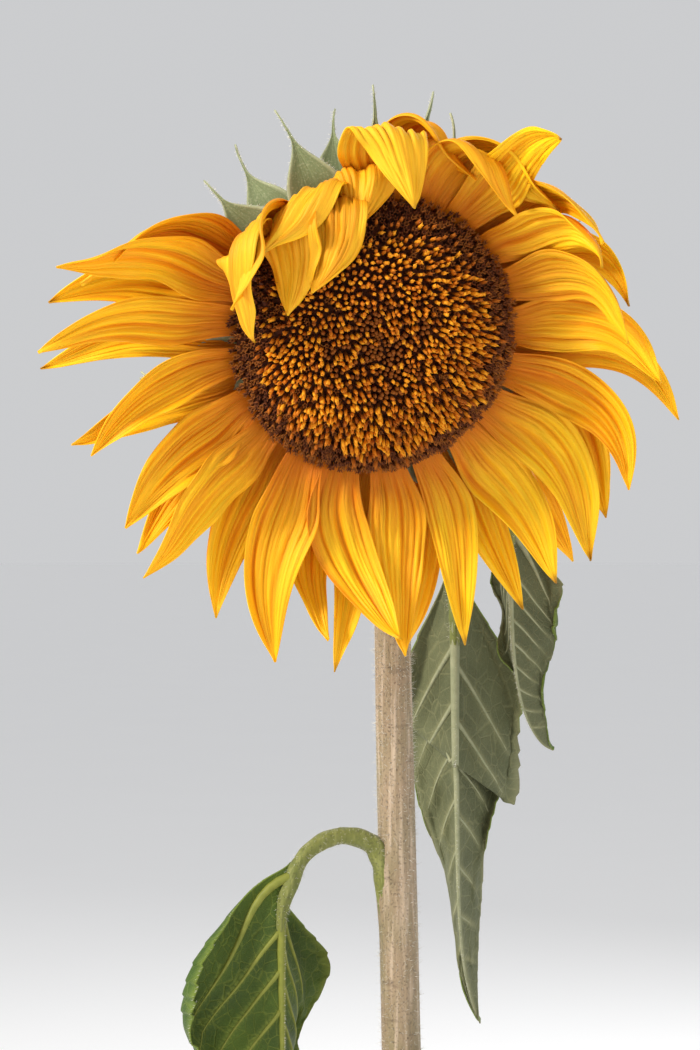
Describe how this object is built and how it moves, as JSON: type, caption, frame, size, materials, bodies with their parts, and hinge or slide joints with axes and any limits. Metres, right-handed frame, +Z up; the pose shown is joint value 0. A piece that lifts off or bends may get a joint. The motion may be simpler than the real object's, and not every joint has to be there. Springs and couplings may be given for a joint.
{
  "type": "sunflower plant",
  "caption": "Rooted sunflower plant with one nodding flower head, limp golden rays, pointed bracts and large leaves hanging from arched stalks.",
  "frame": {"origin": "centre of the flat cut under the stem, at ground level", "axes": "+Z up along the stem, -Y towards the viewer of the flower's face, +X to that viewer's right"},
  "size_m": [0.2885, 0.2747, 0.8119],
  "materials": {
    "stem": "matte, finely ridged and hairy",
    "receptacle": "matte, hairy",
    "florets": "matte, densely grained",
    "ray": "soft satin, ribbed lengthwise",
    "bract": "matte, hairy",
    "stalk": "matte, hairy",
    "leaf": "matte, rough"
  },
  "bodies": {
    "root": {"stem": "stem", "neck": "stem", "receptacle": "receptacle", "floret_disc": "florets", "rays_12": "ray", "rays_01": "ray", "rays_02": "ray", "rays_03": "ray", "rays_04": "ray", "rays_05": "ray", "rays_06": "ray", "rays_07": "ray", "rays_08": "ray", "rays_09": "ray", "rays_10": "ray", "rays_11": "ray", "bracts_06": "bract", "bracts_01": "bract", "bracts_02": "bract", "bracts_03": "bract", "bracts_04": "bract", "bracts_05": "bract", "stalk_upper_right": "stalk", "leaf_upper_right": "leaf", "stalk_long_right": "stalk", "leaf_long_right": "leaf", "stalk_left": "stalk", "leaf_left": "leaf", "stalk_lower_front_right": "stalk", "leaf_lower_front_right": "leaf", "stalk_lower_back": "stalk", "leaf_lower_back": "leaf", "stalk_lower_front_left": "stalk", "leaf_lower_front_left": "leaf", "stalk_lowest_right": "stalk", "leaf_lowest_right": "leaf"}
  },
  "joints": []
}
